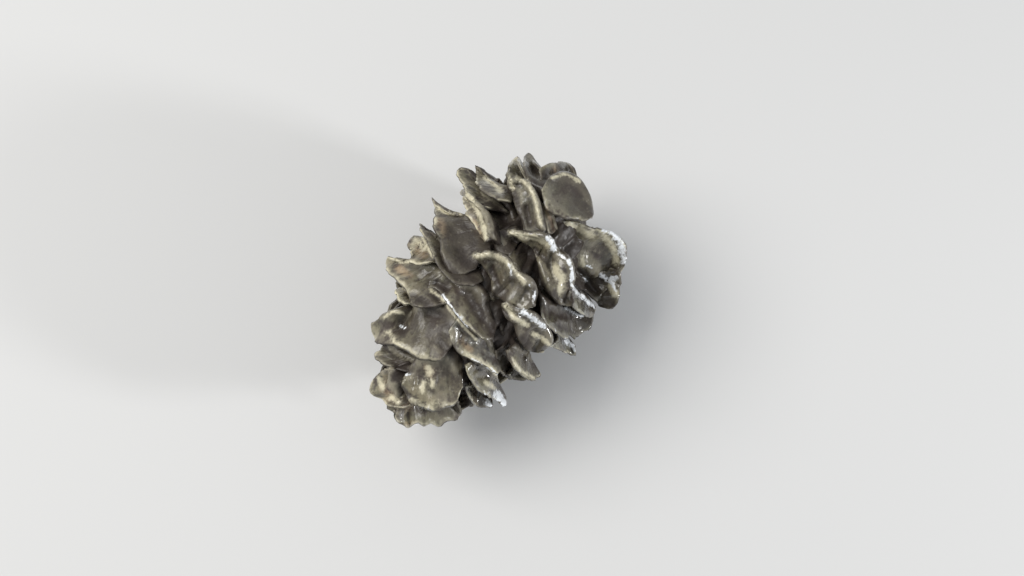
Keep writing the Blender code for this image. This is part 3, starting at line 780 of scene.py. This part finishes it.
def joined(x, y, z):
    return out(added(x.tree, "ShaderNodeCombineXYZ", {0: x, 1: y, 2: z}))


def parted(vector):
    """The x, the y and the z of a vector."""
    return [Wire(slot) for slot in added(vector.tree, "ShaderNodeSeparateXYZ", {0: vector}).outputs]


def above_floor(place):
    """The place, or one just above the floor where it would lie lower."""
    x, y, z = parted(place)
    return joined(x, y, z.math("MAXIMUM", ((z + FLOOR_REACH) * FLOOR_SQUASH).math("MAXIMUM", 0.0)))


def new_group(name, kind, sockets):
    """A node group with these sockets, each as its name, INPUT or OUTPUT, and its kind of value. Returns the
    group, its inputs by name and the node that its outputs go to."""
    tree = bpy.data.node_groups.new(name, kind)
    for label, in_out, value in sockets:
        tree.interface.new_socket(label, in_out=in_out, socket_type=f"NodeSocket{value}")
    given = tree.nodes.new("NodeGroupInput")
    return tree, {slot.name: Wire(slot) for slot in given.outputs}, tree.nodes.new("NodeGroupOutput")


def blade_surface_group():
    """Where the middle surface of a blade lies: a curve from the root over the crest to the free edge, waved
    and with a ragged edge."""
    sizes = ("Across", "Share", *SURFACE_SIZES)
    sockets = [("Rows", "INPUT", "Geometry"), *((name, "INPUT", "Float") for name in sizes)]
    sockets.append(("Place", "OUTPUT", "Vector"))
    tree, wire, result = new_group("blade_surface", "GeometryNodeTree", sockets)
    across, share, wave, ragged, folded, dished, right, left = [wire[name] for name in sizes]
    seed = attribute(tree, "scale_seed")
    number = attribute(tree, "number", "INT")

    def row(k):
        slots = {"Curves": wire["Rows"], "Factor": across * 0.5 + 0.5, "Curve Index": number * 3.0 + float(k)}
        node = added(tree, "GeometryNodeSampleCurve", mode="FACTOR", use_all_curves=False, slots=slots)
        return out(node, "Position")

    aside = across * attribute(tree, "width") * WAVES_A_METRE
    jag = joined(aside * JAG_RATE, seed, 0.0).noise(1.0, 3.0) * JAG_SIZE
    nick = joined(aside * NICK_RATE, seed, 4.0).noise(1.0, 1.0)
    right_corner, left_corner = [side.eased(CORNERS_FROM, 1.0) ** 2.0 for side in (across, -across)]
    corners = right_corner * right + left_corner * left
    reach = share * ((jag + nick * NICK_SIZE) * ragged - corners + 1.0)

    # The curve passes the root at 0, the crest at CREST_AT and the free edge at 1. At the crest it lies
    # between a smooth bend and a fold.
    bends = [
        (reach - CREST_AT) * (reach - 1.0) * (1 / CREST_AT),
        reach * (1.0 - reach) * (1 / (CREST_AT * (1 - CREST_AT))),
        reach * (reach - CREST_AT) * (1 / (1 - CREST_AT)),
    ]
    before, after = reach * (1 / CREST_AT), (1.0 - reach) * (1 / (1 - CREST_AT))
    folds = [
        (1.0 - before).math("MAXIMUM", 0.0),
        before.math("MINIMUM", after),
        (1.0 - after).math("MAXIMUM", 0.0),
    ]
    shares = [bend * (1.0 - folded) + fold * folded for bend, fold in zip(bends, folds)]
    place = weighed([(row(k), share_of_row) for k, share_of_row in enumerate(shares)])

    def waves(kind, third=seed):
        across_rate, along_rate, detail, _ = kind
        return joined(aside * across_rate, share * along_rate, third).noise(1.0, detail)

    swell, pleat, rib = [waves(kind) * kind[-1] for kind in (SWELL, PLEAT, RIB)]
    crease = waves(CREASE, seed + CREASE_SHIFT).size() * CREASE[-1]
    hollow = share.eased(CREST_AT, DISH_DEEPEST[0]) * (-share).eased(-1.0, -DISH_DEEPEST[1])
    hollow = hollow * (-across.size()).eased(-1.0, -DISH_SIDES) * dished
    waved = (swell + (pleat - crease) * attribute(tree, "crumpled") + rib) * wave
    lift = waved * share.eased(*WAVED) - hollow
    spoke = vector_math("MULTIPLY", vector_math("SUBTRACT", place, tuple(AXIS_AT)), (0.0, 1.0, 1.0))
    outward = vector_math("ADD", vector_math("NORMALIZE", spoke), (-LIFT_TO_TIP, 0.0, 0.0))
    lifted = vector_math("ADD", place, vector_math("SCALE", vector_math("NORMALIZE", outward), scale=lift))
    feed(result.inputs["Place"], lifted)
    return tree


def scales_group(surface, material):
    """A blade on each point of the plan: a thin closed box bent onto the blade's surface."""
    sizes = (*SURFACE_SIZES, "Root thickness", "Edge thickness")
    sockets = [("Geometry", "INPUT", "Geometry"), ("Rows", "INPUT", "Object")]
    sockets += [("Cells across", "INPUT", "Int"), ("Cells along", "INPUT", "Int")]
    sockets += [(name, "INPUT", "Float") for name in sizes] + [("Geometry", "OUTPUT", "Geometry")]
    tree, wire, result = new_group("cone_scales", "GeometryNodeTree", sockets)

    slots = {"Vertices X": wire["Cells across"], "Vertices Y": wire["Cells along"], "Vertices Z": 3}
    box = added(tree, "GeometryNodeMeshCube", {"Size": (2, 2, 2)} | slots)
    slots = {"Points": wire["Geometry"], "Instance": out(box, "Mesh")}
    copies = added(tree, "GeometryNodeInstanceOnPoints", slots)
    geometry = out(added(tree, "GeometryNodeRealizeInstances", {0: out(copies)}))

    x, y, side = parted(out(tree.nodes.new("GeometryNodeInputPosition")))
    flat = side.size()
    across = x * (flat * -BEVEL_ACROSS + 1.0)
    share = (y * 0.5 + 0.5) * (flat * -BEVEL_ALONG + 1.0)

    lines = out(added(tree, "GeometryNodeObjectInfo", {"Object": wire["Rows"]}), "Geometry")
    curved = added(tree, "GeometryNodeCurveSplineType", {"Curve": lines}, spline_type="CATMULL_ROM")
    slots = {"Geometry": out(curved), "Resolution": ROW_STEPS}
    fine = out(added(tree, "GeometryNodeSetSplineResolution", slots))

    def surface_at(a, s):
        slots = {"Rows": fine, "Across": a, "Share": s} | {name: wire[name] for name in SURFACE_SIZES}
        return out(added(tree, "GeometryNodeGroup", slots, node_tree=surface), "Place")

    place = surface_at(across, share)
    left, right = surface_at(across - SLOPE_STEP, share), surface_at(across + SLOPE_STEP, share)
    behind, ahead = surface_at(across, share - SLOPE_STEP), surface_at(across, share + SLOPE_STEP)
    aside, along = vector_math("SUBTRACT", right, left), vector_math("SUBTRACT", ahead, behind)
    normal = vector_math("NORMALIZE", vector_math("CROSS_PRODUCT", aside, along))
    thin = share.eased(*THINNED)
    thickness = wire["Root thickness"] * (1.0 - thin) + wire["Edge thickness"] * thin
    moved = vector_math("ADD", place, vector_math("SCALE", normal, scale=side * thickness * 0.5))

    for name, value in (("across", across), ("share", share), ("face", side)):
        slots = {"Name": name, "Geometry": geometry, "Value": value}
        stored = added(tree, "GeometryNodeStoreNamedAttribute", slots, data_type="FLOAT", domain="POINT")
        geometry = out(stored)
    slots = {"Geometry": geometry, "Position": above_floor(moved)}
    shift = added(tree, "GeometryNodeSetPosition", slots)
    smooth = added(tree, "GeometryNodeSetShadeSmooth", {"Geometry": out(shift)})
    whole = added(tree, "GeometryNodeRealizeInstances", {0: out(smooth)})
    paint = added(tree, "GeometryNodeSetMaterial", {"Geometry": out(whole), "Material": material})
    feed(result.inputs["Geometry"], out(paint))
    return tree


def grown(name, blades, tree, cells, values):
    """The scales of these blades, as a plain mesh."""
    plan = plan_object(name, blades)
    rows = rows_object(blades)
    values = values | {"Rows": rows, "Cells across": cells, "Cells along": cells}
    growth = plan.modifiers.new("scales", "NODES")
    growth.node_group = tree
    for item in tree.interface.items_tree:
        if item.in_out == "INPUT" and item.name in values:
            growth[item.identifier] = values[item.name]
    bpy.context.view_layer.update()
    graph = bpy.context.evaluated_depsgraph_get()
    mesh = bpy.data.meshes.new_from_object(plan.evaluated_get(graph))
    plan.modifiers.clear()
    plan.data = mesh
    bpy.data.objects.remove(rows)
    face_out(mesh)
    return plan


def face_out(mesh):
    bm = bmesh.new()
    bm.from_mesh(mesh)
    bmesh.ops.remove_doubles(bm, verts=bm.verts, dist=SAME_POINT)
    bmesh.ops.recalc_face_normals(bm, faces=bm.faces)
    bm.to_mesh(mesh)
    bm.free()


def store_depth(mesh):
    """How far below the cone's outline each point lies, as a share of RADIUS."""
    depths = []
    for vert in mesh.vertices:
        place = vert.co - AXIS_AT
        depths.append((outline(place.x) - math.hypot(place.y, place.z)) / RADIUS)
    store(mesh, "depth", depths)


def stroke_distance(x, y, points):
    """How far each place is from the line through the points, in photo pixels."""
    nearest = np.full(len(x), np.inf)
    for (x0, y0), (x1, y1) in zip(points, points[1:]):
        run, rise = x1 - x0, y1 - y0
        t = np.clip(((x - x0) * run + (y - y0) * rise) / (run**2 + rise**2), 0, 1)
        nearest = np.minimum(nearest, np.hypot(x - x0 - t * run, y - y0 - t * rise))
    return nearest


def lay_strokes(mesh):
    """Stores how strongly the strokes of each kind cover each point that faces the photo's camera, and moves
    the points under them."""
    towards, right, up = view_axes()
    count = len(mesh.vertices)
    places = np.empty(count * 3)
    mesh.vertices.foreach_get("co", places)
    ahead = places.reshape(-1, 3) - np.array(AXIS_AT + towards * DISTANCE)
    away = ahead @ -np.array(towards)
    x = AXIS_MIDDLE_PX[0] + ahead @ np.array(right) * DISTANCE / away / PIXEL
    y = AXIS_MIDDLE_PX[1] - ahead @ np.array(up) * DISTANCE / away / PIXEL
    normals = np.array([vert.normal for vert in mesh.vertices])
    facing = np.clip(normals @ np.array(towards) * FACING_RISE + FACING_AT_LIMB, 0, 1)
    height = np.zeros(count)
    for label, strokes in STROKES.items():
        cover = np.zeros(count)
        for half_width, *points in strokes:
            cover = np.maximum(cover, np.exp(-((stroke_distance(x, y, points) / half_width) ** 2)))
        store(mesh, label, cover * facing)
        height += cover * RELIEF[label]
    places = places.reshape(-1, 3) + np.outer(height, np.array(towards))
    places[:, 2] = np.maximum(places[:, 2], 0)
    mesh.vertices.foreach_set("co", places.ravel())
    mesh.update()


def bases_object(material):
    """The bases of the scales round the core, grown together into one bumpy spindle."""
    mesh = bpy.data.meshes.new("scale_bases")
    bm = bmesh.new()
    bmesh.ops.create_icosphere(bm, subdivisions=BASES_DIVISIONS, radius=1)
    middle = AXIS_AT + view_axes()[0] * BASES_SHIFT
    for vert in bm.verts:
        x, y, z = vert.co
        large, small = [perlin.noise(vert.co * rate) * BASES_BUMPS for rate in BUMP_RATES]
        bump = large + small * SMALL_BUMPS
        radius = BASES_RADIUS + bump
        along = min(z * BASES_HALF_LENGTH + CORE_SHIFT, STALK_SCAR_AT + bump * SCAR_ROUGHNESS)
        vert.co = Vector((along, x * radius, y * radius)) + middle
    bmesh.ops.recalc_face_normals(bm, faces=bm.faces)
    bm.to_mesh(mesh)
    bm.free()
    scar_from = STALK_SCAR_AT - BASES_BUMPS * SCAR_ROUGHNESS
    scar = [float(vert.co.x - middle.x > scar_from) for vert in mesh.vertices]
    for label in ("tan_stroke", "cream_and_highlight_stroke"):
        store(mesh, label, scar)
    for face in mesh.polygons:
        face.use_smooth = True
    mesh.materials.append(material)
    return linked("scale_bases", mesh)


def shader_attributes(tree, names):
    return [out(added(tree, "ShaderNodeAttribute", attribute_name=name), "Fac") for name in names]


def mixed(share, first, second):
    """The first colour, with the second over it by this share."""
    node = added(share.tree, "ShaderNodeMix", data_type="RGBA")
    slots = {slot.identifier: slot for slot in node.inputs}
    feed(slots["Factor_Float"], share)
    for label, colour in (("A_Color", first), ("B_Color", second)):
        feed(slots[label], colour if isinstance(colour, Wire) else (*colour, 1))
    return Wire(next(slot for slot in node.outputs if slot.identifier == "Result_Color"))


def grain_group():
    """Patches, mottling, lengthwise streaks and fine specks of old wood, each from -0.5 to 0.5, and the
    height that they make."""
    names = ("Patches", "Mottle", "Streaks", "Specks", "Height")
    sockets = [(name, "INPUT", "Vector") for name in ("Place", "Along grain")]
    sockets += [("Roughen", "INPUT", "Float"), *((name, "OUTPUT", "Float") for name in names)]
    tree, wire, result = new_group("old_wood_grain", "ShaderNodeTree", sockets)
    patches, mottle, specks = [wire["Place"].noise(*kind) for kind in (PATCHES, MOTTLE, SPECKS)]
    streaks = wire["Along grain"].noise(*STREAKS)
    height = mottle * MOTTLE_HEIGHT + streaks * STREAK_HEIGHT + specks * SPECK_HEIGHT
    for name, value in zip(names, (patches, mottle, streaks, specks, height * wire["Roughen"])):
        feed(result.inputs[name], value)
    return tree


def grain(tree, group, roughen):
    """The group's outputs in this material."""
    across, width, share, seed = shader_attributes(tree, ("across", "width", "share", "scale_seed"))
    along_grain = joined(across * width * STREAKS_A_METRE, share * STREAKS_ALONG, seed)
    place = out(tree.nodes.new("ShaderNodeTexCoord"), "Object")
    slots = {"Place": place, "Along grain": along_grain, "Roughen": roughen}
    return [Wire(slot) for slot in added(tree, "ShaderNodeGroup", slots, node_tree=group).outputs]


def woody_material(group):
    material = bpy.data.materials.new("weathered_cone")
    material.use_nodes = True
    tree = material.node_tree
    shader = tree.nodes["Principled BSDF"]
    patches, mottle, streaks, specks, height = grain(tree, group, 1.0)
    names = ("share", "across", "face", "scale_seed", "depth", "pale", "wet", "tan")
    share, across, face, seed, depth, pale, wet, tan = shader_attributes(tree, names)
    glint_cover, pale_and_highlight, browner, shade_cover = shader_attributes(tree, STROKES)

    colour = mixed(patches.eased(*GREY_FADE), PURPLE_BROWN, OLIVE_GREY)
    colour = mixed((seed * SEED_RATE).noise(1.0, 0.0).eased(*BLUE_FADE) * BLUEST, colour, BLUE_GREY)
    tanned = tan * (patches + mottle * 0.7).eased(*TAN_FADE)
    tanned = tanned.math("MAXIMUM", (browner + mottle).eased(*STROKE_FADE))
    colour = mixed(tanned * TANNEST, colour, TAN)
    light = (mottle + streaks * 0.4 + specks * 0.5).eased(*LIGHT_FADE)
    near_rim = (share + mottle * 0.5).eased(*NEAR_RIM_FADE)
    colour = mixed((light * LIGHTEST).math("MAXIMUM", near_rim * NEAR_RIM), colour, PALE_WOOD_AND_HIGHLIGHT)
    dark = (-mottle + streaks * -0.6 + specks * -0.4).eased(*DARK_FADE)
    colour = mixed(dark * DARKEST, colour, PURPLE_BROWN)

    # The crest and the rim are pale, in broken patches: partly worn pale wood, partly painted highlight.
    crest = (share - PALE_AT).size() * -PALE_NARROWNESS + 1.0
    crest = (crest + mottle * 1.6).eased(*CREST_FADE) * pale * (shade_cover * -PALE_CREST + PALE_CREST)
    crest = crest.math("MAXIMUM", (pale_and_highlight + mottle + specks * 0.8).eased(*STROKE_FADE))
    side_rim = (-across).eased(*SIDE_FADE) * share.eased(*SIDE_RIM_ALONG)
    rim = (share + mottle * 0.08).eased(*RIM_FADE).math("MAXIMUM", side_rim)
    rim = rim * (mottle + patches * 1.4 + pale * 0.4 - shade_cover).eased(*BROKEN_RIM)

    # Painted shade, deep between the scales, under the next scale and along the shade strokes.
    sunk = (depth + patches * 0.3).eased(*HOLLOW_SHADE_FADE) * HOLLOW_SHADE
    covered = pale * -0.45 - share + across * 0.12 + patches * 0.8 + mottle * 0.4
    sunk = sunk.math("MAXIMUM", covered.eased(*UNDER_SCALE_SHADE_FADE) * UNDER_SCALE_SHADE)
    sunk = sunk.math("MAXIMUM", (shade_cover + mottle * 0.6).eased(*PAINTED_SHADE_STROKE_FADE) * PAINTED_SHADE_STROKE)
    colour = mixed(sunk, colour, DEEP_BROWN)
    colour = mixed((crest * PALEST_CREST_AND_HIGHLIGHT).math("MAXIMUM", rim * (pale * 1.2 + 0.1)), colour, PALE_WOOD_AND_HIGHLIGHT)
    colour = mixed((-face.size()).eased(*WALL_FADE) * WALL, colour, DEEP_BROWN)
    colour = mixed((-specks + mottle * -0.5).eased(*PITS_FADE) * PITS, colour, DEEP_BROWN)
    # Painted glints: near white on wet rims and along the glint strokes
    glint = (mottle + specks * 0.5).eased(*GLINT_FADE) * rim * wet
    glint = glint.math("MAXIMUM", (glint_cover + mottle * 1.3 + specks * 1.2).eased(*GLINT_STROKE_FADE))
    feed(shader.inputs["Base Color"], mixed(glint, colour, PAINTED_GLINT_WHITE))

    shine = (patches + mottle * 0.5 + wet * 0.4).eased(*SHINE_FADE) * (shade_cover * -0.85 + 1.0)
    feed(shader.inputs["Roughness"], shine * -SMOOTHER_WHERE_WET + DRY_ROUGHNESS)
    feed(shader.inputs["Coat Weight"], shine * (wet * 0.8 + 0.2))
    feed(shader.inputs["Coat Roughness"], COAT_ROUGHNESS)
    slots = {"Strength": BUMP_STRENGTH, "Distance": BUMP_DISTANCE, "Height": height}
    feed(shader.inputs["Normal"], out(added(tree, "ShaderNodeBump", slots), "Normal"))
    return material


def plain_material(name, colour, roughness):
    material = bpy.data.materials.new(name)
    material.use_nodes = True
    shader = material.node_tree.nodes["Principled BSDF"]
    feed(shader.inputs["Base Color"], (*colour, 1))
    feed(shader.inputs["Roughness"], roughness)
    return material


def add_floor():
    mesh = bpy.data.meshes.new("floor")
    bm = bmesh.new()
    bmesh.ops.create_grid(bm, x_segments=1, y_segments=1, size=FLOOR_HALF_SIZE)
    bm.to_mesh(mesh)
    bm.free()
    mesh.materials.append(plain_material("pale_floor", FLOOR_COLOUR, FLOOR_ROUGHNESS))
    floor = linked("floor", mesh)


def set_light():
    scene = bpy.context.scene
    scene.view_settings.view_transform = "Standard"
    world = bpy.data.worlds.new("studio")
    world.use_nodes = True
    background = world.node_tree.nodes["Background"]
    feed(background.inputs["Color"], (*STUDIO_COLOUR, 1))
    feed(background.inputs["Strength"], STUDIO_STRENGTH)
    scene.world = world
    towards, right, up = view_axes()
    for name, (aside, above, nearer), power, size, colour in LIGHTS:
        data = bpy.data.lights.new(name, "AREA")
        data.energy = power
        data.size = size
        data.color = colour
        light = linked(name, data)
        light.location = AXIS_AT + right * aside + up * above + towards * nearer
        light.rotation_euler = (AXIS_AT - light.location).to_track_quat("-Z", "Y").to_euler()


def set_view():
    camera = linked("photo_view", bpy.data.cameras.new("photo_view"))
    towards = view_axes()[0]
    camera.location = AXIS_AT + towards * DISTANCE
    camera.rotation_euler = (-towards).to_track_quat("-Z", "Y").to_euler()
    camera.data.sensor_width = SENSOR
    camera.data.lens = DISTANCE * SENSOR / (PIXEL * PHOTO_WIDTH)
    camera.data.shift_x = (PHOTO_WIDTH / 2 - AXIS_MIDDLE_PX[0]) / PHOTO_WIDTH
    camera.data.shift_y = (AXIS_MIDDLE_PX[1] - PHOTO_HEIGHT / 2) / PHOTO_WIDTH
    camera.data.clip_start = CLIP_START
    bpy.context.scene.camera = camera


wood = woody_material(grain_group())
seen = [seen_blade(marks) for marks in SEEN.values()]
far = [blade for blade in (far_blade(number) for number in range(SCALES) if number not in LOST) if blade]
tree = scales_group(blade_surface_group(), wood)
seen_scales = grown("seen_scales", seen, tree, CELLS_SEEN, BLADE_SIZES)
far_scales = grown("far_scales", far, tree, CELLS_FAR, BLADE_SIZES | FAR_CORNERS)
for piece in (seen_scales, far_scales, bases_object(wood)):
    store_depth(piece.data)
    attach(piece, "root")
    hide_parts("pine_cone")
lay_strokes(seen_scales.data)
add_floor()
set_light()
set_view()
